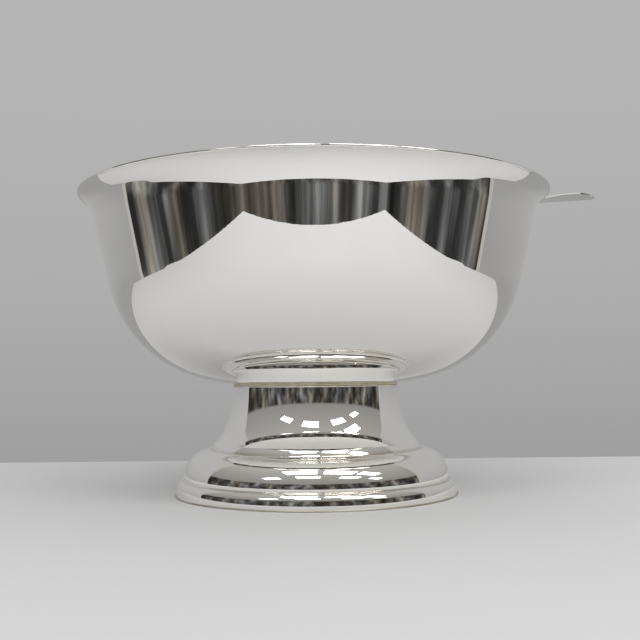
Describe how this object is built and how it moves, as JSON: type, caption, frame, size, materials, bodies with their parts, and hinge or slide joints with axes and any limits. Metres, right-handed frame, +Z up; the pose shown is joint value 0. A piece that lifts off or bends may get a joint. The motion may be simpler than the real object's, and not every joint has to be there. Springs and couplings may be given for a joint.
{
  "type": "punch bowl",
  "caption": "Mirror-polished pedestal punch bowl with a flared, wired lip, a stepped round foot joined through a cream gasket, and a loose serving ladle.",
  "frame": {"origin": "on the bowl's axis, level with the table that the foot stands on", "axes": "+Z up along the bowl's axis; +X towards the side where the ladle's handle crosses the rim, which is 15 degrees from +X towards +Y"},
  "size_m": [0.4424, 0.381, 0.2544],
  "materials": {
    "silver_plate": "mirror-polished silver plate",
    "brass": "plain turned and stamped brass, unplated",
    "gasket_rubber": "matte cream rubber"
  },
  "bodies": {
    "foot": {"pedestal_neck": "silver_plate", "foot_dome": "silver_plate", "base_ring": "silver_plate", "bridge_plate": "brass", "seat_gasket": "gasket_rubber"},
    "bowl": {"bowl_shell": "silver_plate", "rim_wire": "silver_plate", "stud_plate": "brass", "threaded_stud": "brass"},
    "washer": {"flat_washer": "brass"},
    "nut": {"wing_nut": "brass"},
    "ladle": {"ladle_bowl": "silver_plate", "ladle_handle": "silver_plate"}
  },
  "joints": [
    {"name": "bowl_lift", "type": "slide", "parent": "foot", "child": "bowl", "axis": [0, 0, 1], "range_m": [0, 0.1]},
    {"name": "ladle_lift", "type": "slide", "parent": "bowl", "child": "ladle", "axis": [0, 0, 1], "range_m": [0, 0.2]},
    {"name": "nut_travel", "type": "slide", "parent": "foot", "child": "washer", "axis": [0, 0, -1], "range_m": [0, 0.016]},
    {"name": "nut_turn", "type": "hinge", "parent": "washer", "child": "nut", "pos_m": [0, 0, 0.0695], "axis": [0, 0, 1], "range_deg": [0, 4600]}
  ],
  "couplings": [
    {"joint": "nut_travel", "follows": "nut_turn", "m_per_rad": 0.00019894}
  ]
}
